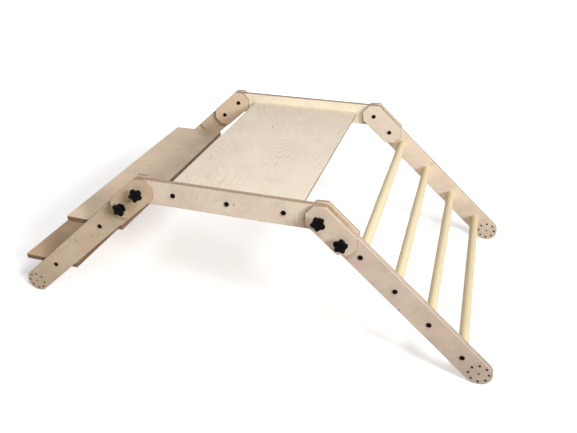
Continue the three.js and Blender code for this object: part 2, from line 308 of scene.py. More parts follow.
def put(mesh, place):
    """Moves a mesh to its place, and turns the faces of a mirrored one outward again."""
    mesh.transform(place)
    if place.determinant() < 0:
        mesh.flip_normals()


def shade(mesh, limit=40):
    """Smooth shading, with edges sharper than the limit kept crisp."""
    mesh.shade_smooth()
    mesh.set_sharp_from_angle(angle=math.radians(limit))


print("points of a ring:", len(round_rings([(1, 0)], 8)[0]))

# %% [markdown]
# ## Repeating with Geometry Nodes
# The table repeats a few things by rule: eight index holes round each rail end, bolts along each rail, rungs down
# the ladder. One tree sets copies of a master shape on a ring and another in a row, each with its own chance turn,
# because bolts and dowels stop at any angle. Sizes and seed are named inputs, and each tree ends in Realize
# Instances and Set Material, so the result is a plain mesh.

# %% Trees for copies on a ring and in a row


def copies_tree(name, on_ring):
    """A tree that puts copies of an object on a ring about Z, or in a row along X."""
    tree = bpy.data.node_groups.new(name, "GeometryNodeTree")
    tree.is_modifier = True
    for label, kind in (("Geometry", "Geometry"), ("Master", "Object"), ("Count", "Int"),
                        ("Radius" if on_ring else "Pitch", "Float"), ("Largest turn", "Float"), ("Seed", "Int"),
                        ("Material", "Material")):
        tree.interface.new_socket(label, in_out="INPUT", socket_type=f"NodeSocket{kind}")
    tree.interface.new_socket("Geometry", in_out="OUTPUT", socket_type="NodeSocketGeometry")
    inputs = add_node(tree, "NodeGroupInput").outputs
    master = add_node(tree, "GeometryNodeObjectInfo", {"Object": inputs["Master"]})
    if on_ring:
        points = add_node(tree, "GeometryNodeMeshCircle", {"Vertices": inputs["Count"], "Radius": inputs["Radius"]})
    else:
        step = add_node(tree, "ShaderNodeCombineXYZ", {"X": inputs["Pitch"]})
        points = add_node(tree, "GeometryNodeMeshLine", {"Count": inputs["Count"], "Offset": step.outputs[0]})
    # Input 3 is the largest decimal number, and output 1 the one that comes out
    chance = add_node(tree, "FunctionNodeRandomValue", {3: inputs["Largest turn"], "Seed": inputs["Seed"]},
                      data_type="FLOAT")
    turn = add_node(tree, "ShaderNodeCombineXYZ", {"Z": chance.outputs[1]})
    placed = add_node(tree, "GeometryNodeInstanceOnPoints",
                      {"Points": points.outputs[0], "Instance": master.outputs["Geometry"],
                       "Rotation": turn.outputs[0]})
    real = add_node(tree, "GeometryNodeRealizeInstances", {"Geometry": placed.outputs[0]})
    finished = add_node(tree, "GeometryNodeSetMaterial",
                        {"Geometry": real.outputs[0], "Material": inputs["Material"]})
    add_node(tree, "NodeGroupOutput", {"Geometry": finished.outputs[0]})
    return tree


RING_TREE = copies_tree("Copies on a ring", True)
ROW_TREE = copies_tree("Copies in a row", False)
print("trees:", RING_TREE.name, "/", ROW_TREE.name)

# %% [markdown]
# ## Taking a tree's result
# A tree works as a modifier on an empty holder. Its result is copied to a plain mesh, and holder and modifier go.

# %% Plain mesh of a tree


def copies(tree, name, master, count, spacing, material, largest_turn=0.0, seed=1):
    """The plain mesh of a tree's result. spacing is the ring's radius or the row's pitch."""
    holder = new_object("Holder", bpy.data.meshes.new("Holder"))
    modifier = holder.modifiers.new(tree.name, "NODES")
    modifier.node_group = tree
    values = {"Master": master, "Count": count, "Radius": spacing, "Pitch": spacing, "Material": material,
              "Largest turn": largest_turn, "Seed": seed}
    for item in tree.interface.items_tree:
        if item.in_out == "INPUT" and item.name in values:
            modifier[item.identifier] = values[item.name]
    evaluated = holder.evaluated_get(bpy.context.evaluated_depsgraph_get())
    mesh = bpy.data.meshes.new_from_object(evaluated)
    mesh.name = name
    holder.modifiers.clear()
    bpy.data.objects.remove(holder)
    return mesh


print("sockets of the ring:", len(RING_TREE.interface.items_tree))

# %% [markdown]
# ## Birch plywood
# Birch plywood is peeled from the log, so its face shows a wide flame figure. Its edge shows the plies, in turn
# along and across the grain: those cut across are end grain and look brown, with dark glue lines between. One
# material draws both, from attributes of the mesh: sheet is a point's place in the sheet, plies its depth counted in
# plies, facing the way a face looks, tint the panel's own tone together with painted light and shade, and bored
# marks a drilled wall. So a rounded edge or a cut groove shows the ply that it would really reach. Real sizes: a ply
# is 1.4 mm, flame lines lie 6 to 12 mm apart, and pores are 0.3 mm wide.

# %% Places in the sheet
GRAIN_TURN = {"ladder_rail": 4, "rail": 90, "filler": 90, "board": 90, "tread": 0, "plate": 12}
SHEET_PLIES = {18: 13, 12: 9}


def sheet_place(name):
    """From a panel's own drawing, in mm, to its place in the sheet, in metres: each panel has a part to itself."""
    turn = next(degrees for kind, degrees in GRAIN_TURN.items() if kind in name)
    serial = sum(ord(letter) * (i + 1) for i, letter in enumerate(name)) % 97
    offset = Matrix.Translation((serial * 0.61, serial * 0.37, serial * 0.11))
    return offset @ Matrix.Rotation(-math.radians(turn), 4, "Z") @ Matrix.Scale(MM, 4)


def grain(tree, place, scale, detail=2.0, roughness=0.5, distortion=0.0):
    """A noise with its own scale along each axis, because wood is drawn out along the grain."""
    space = add_node(tree, "ShaderNodeMapping", {"Vector": place, "Scale": scale})
    return add_node(tree, "ShaderNodeTexNoise",
                    {"Vector": space.outputs[0], "Scale": 1.0, "Detail": detail, "Roughness": roughness,
                     "Distortion": distortion}).outputs["Fac"]


print("the board lies at", sheet_place("platform_board").translation)

# %% [markdown]
# ## Flame figure
# The figure is the contour lines of the wavy cut, so a smooth noise stands for the height of the cut, stretched
# along the grain, and each step of its height gives one soft dark line. The lines are strong in some places and
# faded in others. A few pin knots lie where the picture shows them. The height swells round each knot, so the
# lines bend round it as on the real veneer.

# %% Flame figure
LINE_PROFILE = ((0.0, 0.3), (0.35, 0.0), (0.62, 0.35), (0.84, 1.0), (1.0, 0.3))  # darkness across one line
KNOT_STRETCH = 0.55  # a knot's width across the grain, as a share of its length along it


def flame_figure(tree, sheet, lines, darkness, knots):
    """The share of flame colour, and the share of knot, which is None on a sheet without knots.
    lines is how many there are from valley to hill. knots: panel, x and y in its drawing, and radius, mm."""
    height = grain(tree, sheet, (2.6, 7.5, 1), 2.0, 0.4, 0.35)
    flat = add_node(tree, "ShaderNodeMapping", {"Vector": sheet, "Scale": (KNOT_STRETCH, 1, 0)}).outputs[0]
    knot = None
    for panel_name, x, y, radius in knots:
        centre = sheet_place(panel_name) @ Vector((x, y, 0))
        away = add_node(tree, "ShaderNodeVectorMath", {0: flat, 1: (centre.x * KNOT_STRETCH, centre.y, 0)},
                        operation="DISTANCE").outputs["Value"]
        swell = ranged(tree, away, 0, 9 * radius * MM, 0.16, 0, interpolation_type="SMOOTHERSTEP")
        height = maths(tree, "ADD", height, swell)
        core = ranged(tree, away, 0.4 * radius * MM, 1.2 * radius * MM, 1, 0)
        knot = maths(tree, "MAXIMUM", knot, core) if knot else core
    step = maths(tree, "FRACT", maths(tree, "MULTIPLY", height, lines))
    line = add_node(tree, "ShaderNodeValToRGB", {"Fac": step})
    line.color_ramp.interpolation = "B_SPLINE"
    for position, _ in LINE_PROFILE[1:-1]:
        line.color_ramp.elements.new(position)
    for stop, (_, grey) in zip(line.color_ramp.elements, LINE_PROFILE):
        stop.color = (grey, grey, grey, 1)
    strength = ranged(tree, grain(tree, sheet, (5, 9, 1), 1.0), 0.38, 0.62, 0.25 * darkness, darkness)
    return maths(tree, "MULTIPLY", line.outputs[0], strength), knot


print("stops of a line:", len(LINE_PROFILE))

# %% [markdown]
# ## Face veneer
# Birch sapwood is cream, turns pink near the heart, and greys to green where the oil went in. The three lie in long
# patches, and over them come the flame lines, the pores, drawn 0.6 mm wide, and the pin knots.

# %% Face veneer
KNOT_TONE = "#7a6248"


def face_veneer(tree, sheet, tones, figure, patches, knots):
    """The colour of a panel's face. patches: how many lie on a metre along the grain and across it, and how strong."""
    cream, pink, green, flame = tones
    along, across, share = patches
    flame_share, knot = flame_figure(tree, sheet, *figure, knots)

    def patch(shrink, depth, low, high):
        noise = grain(tree, sheet, (shrink * along, shrink * across, depth), 3.0)
        return ranged(tree, noise, low, high, 0, share, interpolation_type="SMOOTHSTEP")

    face = blend(tree, patch(1, 1, 0.36, 0.64), cream, pink)
    face = blend(tree, patch(1.4, 9, 0.5, 0.68), face, green)
    pores = ranged(tree, grain(tree, sheet, (190, 1500, 600), 1.0), 0.66, 0.76, 0, 0.4)
    face = blend(tree, pores, blend(tree, flame_share, face, flame), flame)
    return blend(tree, knot, face, colour(KNOT_TONE)) if knot else face


print("knot tone:", KNOT_TONE)

# %% [markdown]
# ## Plies, glue and painted shade
# Below the face, the ply that a point lies in decides whether it is cut along or across, and each pair of plies has
# its own tone. Glue lines are drawn 0.25 mm wide. Just inside a drilled hole's mouth the wood is painted dark, as
# painted shade where hardly any light gets out. The legs are painted darker towards the floor, as painted shade
# for the light that falls off low down. End grain is rougher than the sanded face, and the oil leaves both with a
# dull gloss.

# %% Plywood material
EDGE_TONES = ("#cdb89f", "#8d7459", "#5f4935")  # inner ply, end grain and glue
# Painted shade inside drilled holes
HOLE_PAINTED_SHADE = "#160e08"
# Painted shade low on the legs, darker towards the floor
LOW_SHADE_FROM, LOW_SHADE_TO, LOW_SHADE_TONE = 0.03, 0.17, 0.78  # m above the floor where the dark is full and where it ends


def plywood_material(kind, thickness, tones, figure, patches, knots=()):
    """Sanded and oiled birch plywood. tones: cream, pink, grey green and flame line."""
    inner, end_grain, glue = [colour(code) for code in EDGE_TONES]
    plies = SHEET_PLIES[thickness]
    material, tree = new_material(f"Birch plywood {thickness} mm, {kind}")
    mark = {key: add_node(tree, "ShaderNodeAttribute", attribute_name=key).outputs
            for key in ("sheet", "plies", "facing", "tint", "bored")}
    sheet = mark["sheet"]["Vector"]
    face = face_veneer(tree, sheet, [colour(code) for code in tones], figure, patches, knots)

    # Which ply a point is in, how far that ply shows end grain, and its own tone
    inside = maths(tree, "MINIMUM", maths(tree, "MAXIMUM", mark["plies"]["Fac"], 0.001), plies - 0.001)
    ply = maths(tree, "FLOOR", inside)
    looks = add_node(tree, "ShaderNodeVectorMath", {0: mark["facing"]["Vector"]}, operation="ABSOLUTE").outputs[0]
    looks = add_node(tree, "ShaderNodeSeparateXYZ", {0: looks}).outputs
    cut_across = add_node(tree, "ShaderNodeMix", {"Factor": maths(tree, "MODULO", ply, 2.0), "A": looks["X"],
                                                  "B": looks["Y"]}).outputs["Result"]
    pair = maths(tree, "FLOOR", maths(tree, "DIVIDE", maths(tree, "ADD", ply, 1.0), 2.0))
    ply_tone = add_node(tree, "ShaderNodeTexWhiteNoise", {"W": pair}, noise_dimensions="1D").outputs["Value"]
    from_middle = maths(tree, "ABSOLUTE", maths(tree, "SUBTRACT", inside, plies / 2))
    on_face = maths(tree, "GREATER_THAN", from_middle, plies / 2 - 1)
    wood = blend(tree, cut_across, blend(tree, on_face, inner, face), end_grain)
    wood = tinted(tree, wood, blend(tree, on_face, ranged(tree, ply_tone, 0, 1, 0.5, 1.3), (1, 1, 1, 1)))

    # Glue lines, the panel's tint with its painted light and shade, painted shade in holes, fibres and painted shade
    # low on the legs
    glued = ranged(tree, maths(tree, "PINGPONG", inside, 0.5), 0.05, 0.14, 0.75, 0)
    glued = maths(tree, "MULTIPLY", glued, maths(tree, "LESS_THAN", from_middle, plies / 2 - 0.5))
    # The panel's tint, which carries painted light and shade as well as its own tone
    wood = tinted(tree, blend(tree, glued, wood, glue), mark["tint"]["Vector"])
    # Painted shade on a drilled hole's wall, fading out in the outer ply at each face
    depth = ranged(tree, from_middle, plies / 2 - 1.0, plies / 2 - 0.2, 0.97, 0)
    wood = blend(tree, maths(tree, "MULTIPLY", mark["bored"]["Fac"], depth), wood, colour(HOLE_PAINTED_SHADE))
    fibres = grain(tree, sheet, (30, 620, 300), 3.0, 0.6)
    wood = tinted(tree, wood, ranged(tree, fibres, 0.25, 0.75, 0.94, 1.05))
    # Painted shade: darker towards the floor
    above = add_node(tree, "ShaderNodeSeparateXYZ", {0: object_place(tree)}).outputs["Z"]
    wood = tinted(tree, wood, ranged(tree, above, LOW_SHADE_FROM, LOW_SHADE_TO, LOW_SHADE_TONE, 1))
    surface(tree, wood, ranged(tree, cut_across, 0, 1, 0.52, 0.78), fibres, 0.25, 0.0003, IOR=1.45)
    return material


print("a ply of an 18 mm sheet:", round(18 / SHEET_PLIES[18], 2), "mm")

# %% [markdown]
# ## The table's sheets
# The pieces were cut from several sheets, which differ a little in tone and figure. The step rails' sheet is
# greener and the platform's is paler, with the strongest flames. Each has its own pin knots.

# %% Sheets of plywood
rail_plywood = plywood_material(
    "rails", 18, ("#e4d6c2", "#dfc9ba", "#d4cab2", "#bda388"), figure=(36, 0.3), patches=(22, 14, 0.8),
    knots=[("middle_rail_near", 21.3, 0.6, 2.4), ("ladder_rail_near", 263.7, -33.8, 2.4)])
step_plywood = plywood_material(
    "step rails", 18, ("#ddcfb6", "#d9c4b0", "#cdc4a8", "#b9a285"), figure=(40, 0.34), patches=(22, 14, 0.8),
    knots=[("step_rail_near", -270.7, 19.6, 3.0), ("step_rail_near", -202.4, -8.0, 2.4)])
tread_plywood = plywood_material(
    "treads", 18, ("#decdb5", "#dac2b0", "#cec3aa", "#b79b80"), figure=(38, 0.42), patches=(7, 15, 0.8),
    knots=[("upper_tread", -94.3, -353.0, 2.6), ("upper_tread", -104.9, 262.3, 2.2)])
board_plywood = plywood_material(
    "platform", 12, ("#e5dbc9", "#e1d4c5", "#dbd4c2", "#c3ac92"), figure=(42, 0.6), patches=(7, 12, 0.6),
    knots=[("platform_board", -56.5, 163.7, 3.0)])
plate_plywood = plywood_material(
    "link plates", 12, ("#dccbb5", "#dac8b3", "#d3c8ac", "#bba286"), figure=(34, 0.26), patches=(15, 18, 0.6))
print("plywood nodes:", len(rail_plywood.node_tree.nodes))

# %% [markdown]
# ## Tints of the panels, with painted light and shade
# No two panels of a real table have quite the same tone, on faces or on sanded edges. The picture shows which are
# lighter or warmer, so each of these has a tint for both, as shares of red, green and blue. The tints are partly the
# panels' own tone and partly painted light and shade: painted shade above all on the treads, on their edges and on
# the lower tread's faces, and painted light on the ladder rails' edges and on some far inner faces. The mesh carries
# it as an attribute, next to those that place the panel in its sheet.

# %% Tints and attributes
# Face and edge tints: own tone, with painted shade on the treads and painted light on the ladder rails' edges and far
# faces
TONE_AND_SHADE_TINTS = {
    "platform_board": ((0.9, 0.875, 0.87), (0.9, 0.9, 0.92)),
    "middle_rail_near": ((1.04, 1.1, 1.15), (0.8, 0.77, 0.72)),
    "middle_rail_far": ((1.15, 1.25, 1.24), (0.8, 0.8, 0.8)),
    "ladder_rail_near": ((0.87, 0.88, 0.94), (1.12, 1.22, 1.34)),
    "ladder_rail_far": ((1.05, 1.08, 1.1), (1.2, 1.3, 1.4)),
    "step_rail_near": ((0.97, 0.98, 0.98), (0.8, 0.78, 0.76)),
    "upper_tread": ((0.98, 0.94, 0.88), (0.5, 0.44, 0.37)),
    "lower_tread": ((0.79, 0.65, 0.49), (0.5, 0.44, 0.37)),
    "left_plate_near_outer": ((0.94, 0.9, 0.84), (0.9, 0.88, 0.86)),
    "left_plate_far_inner": ((1.06, 1.04, 1.01), (0.9, 0.88, 0.86)),
    "right_plate_near_outer": ((1.02, 1.05, 1.1), (1.05, 1.08, 1.12)),
    "right_plate_far_inner": ((1.12, 1.2, 1.28), (1.05, 1.08, 1.12)),
}
PLAIN_TINTS = ((1, 1, 1), (0.9, 0.9, 0.9))
FACE_TILT = 0.6  # a face that looks up or down by more than this has the face's tint


def write_wood(mesh, name, thickness):
    """Writes the attributes that the plywood reads. A bored wall still has its drill's material, which is slot 1."""
    in_sheet = sheet_place(name)
    turn = in_sheet.to_3x3().normalized()
    face_tone_and_shade, edge_tone_and_shade = TONE_AND_SHADE_TINTS.get(name, PLAIN_TINTS)

    def write(key, domain, values, kind="FLOAT_VECTOR", field="vector"):
        for item, value in zip(mesh.attributes.new(key, kind, domain).data, values):
            setattr(item, field, value)

    depths = [v.co.z / thickness * SHEET_PLIES[thickness] for v in mesh.vertices]
    on_face = [p.material_index or abs(p.normal.z) > FACE_TILT for p in mesh.polygons]
    write("sheet", "POINT", [in_sheet @ v.co for v in mesh.vertices])
    write("plies", "POINT", depths, "FLOAT", "value")
    write("facing", "FACE", [turn @ p.normal for p in mesh.polygons])
    # Each face takes its panel's face or edge tint, which holds painted light and shade as well as own tone
    write("tint", "FACE", [face_tone_and_shade if flat else edge_tone_and_shade for flat in on_face])
    write("bored", "FACE", [p.material_index for p in mesh.polygons], "FLOAT", "value")


print("panels with a tint of their own:", len(TONE_AND_SHADE_TINTS))

# %% [markdown]
# ## Panels
# Rails, plates, fillers and boards are all routed from sheet: an outline, a thickness and edges rounded with a
# round-over bit. A panel is a stack of its own outline, drawn in a little towards both faces. Holes and grooves are
# cut after that, as on the real bench, and only then the wood's attributes are written on the mesh.

# %% Panel maker
ARRIS_STEPS = 4  # rings on each rounded edge


def cut(piece, cutters):
    """Takes the cutters out of the piece. Bored walls keep their drill's material, and the mesh is plain."""
    for cutter in cutters:
        boolean = piece.modifiers.new("Cut", "BOOLEAN")
        boolean.material_mode = "TRANSFER"
        boolean.operation = "DIFFERENCE"
        boolean.solver = "EXACT"
        boolean.object = cutter
    evaluated = piece.evaluated_get(bpy.context.evaluated_depsgraph_get())
    mesh = bpy.data.meshes.new_from_object(evaluated)
    piece.modifiers.clear()
    piece.data = mesh
    for cutter in cutters:
        bpy.data.objects.remove(cutter)


def crisp_edges(mesh):
    """Smooth shading round an edge or a hole, and crisp lines where a face, a rounding and an edge meet."""
    bm = bmesh.new()
    bm.from_mesh(mesh)
    bm.normal_update()

    def kind(face):
        tilt = abs(face.normal.z)
        return "flat" if tilt > 0.999 else "edge" if tilt < 0.02 else "rounding"

    for face in bm.faces:
        face.smooth = True
    for edge in bm.edges:
        if len(edge.link_faces) == 2:
            one, other = edge.link_faces
            edge.smooth = kind(one) == kind(other) and one.normal.angle(other.normal, 0) < math.radians(32)
    bm.to_mesh(mesh)
    bm.free()


def panel(name, outline, size, material, place, cutters=()):
    """A routed panel. outline(inset) gives its points in X and Y, and its thickness runs along Z."""
    thickness, arris, rings = size["thickness"], size["arris"], []
    for i in range(ARRIS_STEPS):
        step = math.radians(90 / (ARRIS_STEPS - 1) * i)
        inset, height = arris * (1 - math.sin(step)), arris * (1 - math.cos(step))
        rings.append([(x, y, height) for x, y in outline(inset)])
    rings += [[(x, y, thickness - z) for x, y, z in ring] for ring in reversed(rings)]
    piece = new_object(f"{name}_wood", stack_rings(name, rings))
    piece.data.materials.append(material)
    if cutters:
        cut(piece, cutters)
    crisp_edges(piece.data)
    write_wood(piece.data, name, thickness)
    put(piece.data, place)
    for polygon in piece.data.polygons:
        polygon.material_index = 0
    while len(piece.data.materials) > 1:
        piece.data.materials.pop()
    return piece


print("rings of a panel:", 2 * ARRIS_STEPS)

# %% [markdown]
# ## Outlines
# A rail is a bar with round ends. A link plate is an octagon pulled long over both pivots. A filler has flat edges
# and hollow ends, so that both rails can swing round it. Boards are rectangles with slightly rounded corners.

# %% Outlines


def rail_outline(start, end):
    """A bar with round ends, from one pivot to the other."""
    def points(inset):
        radius = RAIL["width"] / 2 - inset
        turns = [math.radians(-90 + 180 * i / 32) for i in range(33)]
        right = [(end + radius * math.cos(a), radius * math.sin(a)) for a in turns]
        left = [(start - radius * math.cos(a), -radius * math.sin(a)) for a in turns]
        return right + left
    return points


def plate_outline(middle):
    """An octagon over two pivots."""
    def points(inset):
        half, x = PLATE["width"] / 2 - inset, LINK / 2
        side = half * math.tan(math.radians(22.5))
        corners = [(x + half, -side), (x + half, side), (x + side, half), (-x - side, half), (-x - half, side),
                   (-x - half, -side), (-x - side, -half), (x + side, -half)]
        return [(middle + cx, cy) for cx, cy in corners]
    return points


def filler_outline(middle):
    """Flat top and bottom, blunt tips and hollow ends round both pivots."""
    def points(inset):
        half, tip = RAIL["width"] / 2 - inset, FILLER["top"] / 2 - inset
        hollow = RAIL["width"] / 2 + FILLER["clearance"] + inset
        reach = math.acos((LINK / 2 - tip) / hollow)
        turns = [reach * (1 - i / 10) for i in range(21)]
        right = [(LINK / 2 - hollow * math.cos(a), -hollow * math.sin(a)) for a in turns]
        left = [(-x, -y) for x, y in right]
        loop = [(-tip, -half), (tip, -half)] + right + [(tip, half), (-tip, half)] + left
        return [(middle + x, y) for x, y in loop]
    return points


def board_outline(size, half):
    """A rectangle with rounded corners, half wide to each side of the middle."""
    def points(inset):
        (x0, x1), corner, loop = size["ends"], size["corner"], []
        radius = corner - inset
        for cx, cy, start in ((x1 - corner, corner - half, -90), (x1 - corner, half - corner, 0),
                              (x0 + corner, half - corner, 90), (x0 + corner, corner - half, 180)):
            turns = [math.radians(start + 22.5 * i) for i in range(5)]
            loop += [(cx + radius * math.cos(a), cy + radius * math.sin(a)) for a in turns]
        return loop
    return points


print("points round a rail:", len(rail_outline(0, 560)(0)))

# %% [markdown]
# ## Drills
# Each rail end has a small centre hole and a ring of eight index holes, 7.8 mm wide as the picture shows them. The
# drill is a master shape that is a little wider at both faces, which breaks the holes' rims, and the ring tree sets
# it round the pivot. Its material only marks the walls that it cuts.

# %% Drills for the rails
INDEX_HOLE, BOLT_HOLE, FREE_END_HOLE = 3.9, 3.3, 3.1  # radii
INDEX_COUNT, INDEX_RING = 8, 29.0
bored_wood = bpy.data.materials.new("Bored wood")


def drill(radius, thickness, rim=0.4, sides=20):
    """The mesh of a drill through a panel, wider at both faces."""
    wide = radius + rim + 1
    profile = ((wide, -1), (radius, rim), (radius, thickness - rim), (wide, thickness + 1))
    mesh = stack_rings("Drill", round_rings(profile, sides))
    mesh.materials.append(bored_wood)
    return mesh


def cutter_at(mesh, x):
    """The mesh as an object, moved along X."""
    mesh.transform(Matrix.Translation((x, 0, 0)))
    return new_object(mesh.name, mesh)


def rail_drills(start, end, bolt_xs):
    """Cutters for both hole rings, both pivots and the bolts of a rail."""
    thickness = RAIL["thickness"]
    master = new_object("Drill", drill(INDEX_HOLE, thickness))
    cutters = []
    for x in (start, end):
        cutters.append(cutter_at(copies(RING_TREE, "Index holes", master, INDEX_COUNT, INDEX_RING, bored_wood), x))
        clamped = x == 0 or start + end == 0
        cutters.append(cutter_at(drill(BOLT_HOLE if clamped else FREE_END_HOLE, thickness), x))
    cutters += [cutter_at(drill(BOLT_HOLE, thickness), x) for x in bolt_xs]
    bpy.data.objects.remove(master)
    return cutters


print("index holes:", INDEX_COUNT, "at", INDEX_RING, "mm")

# %% [markdown]
# ## Housings
# The ends of a tread sit in housings, routed 5 mm deep into the step rails' inner faces. They are level when the
# frame stands, so they slant across the drawing. A short slot above them is cut the same way.

# %% Housings for the treads
BOLT_XS = {"middle": (-172, 0, 172), "step": (-142, -423), "ladder": (70, 210, 350, 490)}
HOUSING_LENGTH, HOUSING_DEPTH = 240, 5.0
SLOT = (-135, 21, 13, 42)  # place in the drawing, length and height


def groove(x, y, length, height, turn):
    """A cutter for a housing in the inner face, which is the panel's face at Z = 0."""
    bm = bmesh.new()
    bmesh.ops.create_cube(bm, size=1)
    bmesh.ops.scale(bm, vec=(length, height, 2 * HOUSING_DEPTH), verts=bm.verts)
    mesh = bpy.data.meshes.new("Groove")
    bm.to_mesh(mesh)
    bm.free()
    mesh.transform(Matrix.Translation((x, y, 0)) @ Matrix.Rotation(turn, 4, "Z"))
    return new_object("Groove", mesh)


def tread_cuts():
    """Housings for both treads and the slot above the upper one."""
    cuts = [groove(x, 0, HOUSING_LENGTH, TREAD["thickness"] + 2 * SEAT, -SLOPE) for x in BOLT_XS["step"]]
    return cuts + [groove(*SLOT, 0)]


print("housing height:", TREAD["thickness"] + 2 * SEAT, "mm")

# %% [markdown]
# ## Six rails
# A panel is drawn lying down, so a rail is stood up: its Y becomes the frame's Z, and its thickness runs from the
# inner face outward. On these rails the face grain runs across, because all were nested side by side on the sheet.

# %% Rails


def stand(side, distance):
    """Stands a flat panel up beside the middle plane, with its Z = 0 face at the given distance."""
    out = OUTWARD[side]
    return Matrix(((1, 0, 0, 0), (0, 0, out, out * distance), (0, 1, 0, 0), (0, 0, 0, 1)))


RAIL_ENDS = {"middle": (-280, 280), "step": (-560, 0), "ladder": (0, 560)}
for kind, (start, end) in RAIL_ENDS.items():
    for side in OUTWARD:
        cutters = rail_drills(start, end, BOLT_XS[kind])
        if kind == "step":
            cutters += tread_cuts()
        rail = panel(f"{kind}_rail_{side}", rail_outline(start, end), RAIL,
                     step_plywood if kind == "step" else rail_plywood, FRAMES[kind] @ stand(side, INNER), cutters)
        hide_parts(f"{kind}_rail_{side}")
        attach(rail, f"{kind}_frame")
        print(rail.name, len(rail.data.polygons), "faces")

# %% [markdown]
# ## Platform and treads
# The platform is a 12 mm board with its grain along its length. The treads are 18 mm boards that stay level, with
# their grain across. They lie flat already, so they only move to their bolts.

# %% Boards
platform = panel("platform_board", board_outline(BOARD, INNER - SEAT), BOARD, board_plywood,
                 FRAMES["middle"] @ Matrix.Translation((0, 0, -BOARD["thickness"] / 2)))
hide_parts("platform_board")
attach(platform, "middle_frame")
for name, x in zip(("upper_tread", "lower_tread"), BOLT_XS["step"]):
    centre = FRAMES["step"] @ Vector((x, 0, 0))
    place = Matrix.Translation(centre) @ Matrix.Scale(MM, 4) @ Matrix.Translation((0, 0, -TREAD["thickness"] / 2))
    tread = panel(name, board_outline(TREAD, INNER + HOUSING_DEPTH - SEAT), TREAD, tread_plywood, place)
    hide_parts(name)
    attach(tread, "step_frame")
    print(tread.name, "at", [round(v, 3) for v in centre])

# %% [markdown]
# ## Link plates and fillers
# At each corner two octagonal plates clamp the rail ends between them, and a filler closes the gap between the
# ends. The plates' faces are drilled only for the two clamp bolts.

# %% Plates and fillers
LAYERS = {"outer": INNER + RAIL["thickness"] + SEAT, "inner": INNER - SEAT - PLATE["thickness"]}
for end in SIGN:
    middle = SIGN[end] * LINK / 2
    for side in OUTWARD:
        for layer, distance in LAYERS.items():
            name = f"{end}_plate_{side}_{layer}"
            drills = [cutter_at(drill(BOLT_HOLE, PLATE["thickness"]), x) for x in (0, 2 * middle)]
            plate = panel(name, plate_outline(middle), PLATE, plate_plywood, LINKS[end] @ stand(side, distance),
                          drills)
            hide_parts(name)
            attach(plate, f"{end}_link")
        name = f"{end}_filler_{side}"
        filler = panel(name, filler_outline(middle), FILLER, rail_plywood, LINKS[end] @ stand(side, INNER))
        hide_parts(name)
        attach(filler, f"{end}_link")
print("plate:", [round(v, 3) for v in plate.dimensions])

# %% [markdown]
# ## Dowel wood
# The rungs are planed dowels of pale hardwood. The grain runs along each dowel: fine growth rings 2 to 4 mm apart,
# which the round side cuts into long lines, and short dark flecks 0.4 mm wide. So one noise is squeezed hard across
# the dowel and hardly along it, and its steps of height are the growth rings.

# %% Planed hardwood dowel
dowel_wood, tree = new_material("Planed hardwood dowel")
place = object_place(tree)
growth = grain(tree, place, (150, 2.2, 110), 3.0, 0.55, 0.3)
growth_line = maths(tree, "PINGPONG", maths(tree, "MULTIPLY", growth, 7.0), 0.5)
fleck = ranged(tree, grain(tree, place, (2200, 160, 2200), 1.0), 0.6, 0.72, 0, 0.45)
wood = blend(tree, growth_line, colour("#d8cba7"), colour("#c8b48b"))
wood = blend(tree, fleck, wood, colour("#b08f63"))
surface(tree, wood, 0.5, growth, 0.15, 0.0003, IOR=1.45)
print("dowel nodes:", len(tree.nodes))

# %% [markdown]
# ## Rungs
# A rung is 30 mm thick, with a small chamfer at each end. One dowel is a stack of rings, and the row tree sets
# four of them down the ladder, each at a bolt and turned its own way.

# %% Rungs
RUNG_RADIUS, RUNG_CHAMFER, RUNG_SIDES = 15, 1, 64

half, narrow = INNER - SEAT, RUNG_RADIUS - RUNG_CHAMFER
profile = ((narrow, -half), (RUNG_RADIUS, RUNG_CHAMFER - half), (RUNG_RADIUS, half - RUNG_CHAMFER), (narrow, half))
dowel = new_object("Dowel", stack_rings("Dowel", round_rings(profile, RUNG_SIDES)))
shade(dowel.data)
first, second = BOLT_XS["ladder"][:2]
row = copies(ROW_TREE, "rungs_wood", dowel, len(BOLT_XS["ladder"]), second - first, dowel_wood, math.tau, 5)
bpy.data.objects.remove(dowel)
put(row, FRAMES["ladder"] @ Matrix.Translation((first, 0, 0)) @ stand("far", 0))
rungs = new_object("rungs_wood", row)
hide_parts("rung_1", "rung_2", "rung_3", "rung_4")
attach(rungs, "ladder_frame")
print("rungs:", len(row.polygons), "faces")

# %% [markdown]
# ## Black steel and black nylon
# The bolts are black oxide steel: near black, softly glossy, and a little worn to brown. The knobs are moulded in
# glass-filled nylon, with a fine spark-eroded grain and dull, uneven gloss. Both are two dark tones mixed by a fine
# noise, with a finer noise for relief, so one function makes both.

# %% Black steel and black nylon


def fine_noise(tree, scale, low, high):
    """A noise of a given scale, mapped to a range."""
    noise = add_node(tree, "ShaderNodeTexNoise", {"Vector": object_place(tree), "Scale": scale, "Detail": 3.0})
    return ranged(tree, noise.outputs["Fac"], 0.3, 0.7, low, high)


def black_material(name, tones, tone_noise, relief_noise, gloss_noise, **inputs):
    """A near black material. Each noise has a scale and a range, and the relief's has its strength."""
    material, tree = new_material(name)
    tone = blend(tree, fine_noise(tree, *tone_noise), colour(tones[0]), colour(tones[1]))
    scale, strength = relief_noise
    surface(tree, tone, fine_noise(tree, *gloss_noise), fine_noise(tree, scale, 0, 1), strength, 0.0002, **inputs)
    return material


black_steel = black_material("Black oxide steel", ("#060505", "#120c09"), (260, 0, 0.5), (1500, 0.1),
                             (420, 0.3, 0.45), **{"Metallic": 0.2, "Specular IOR Level": 0.05})
black_nylon = black_material("Moulded black nylon", ("#050505", "#0b0a0a"), (180, 0, 1), (2400, 0.2),
                             (300, 0.26, 0.4), **{"Specular IOR Level": 0.04})
print("steel nodes:", len(black_steel.node_tree.nodes))

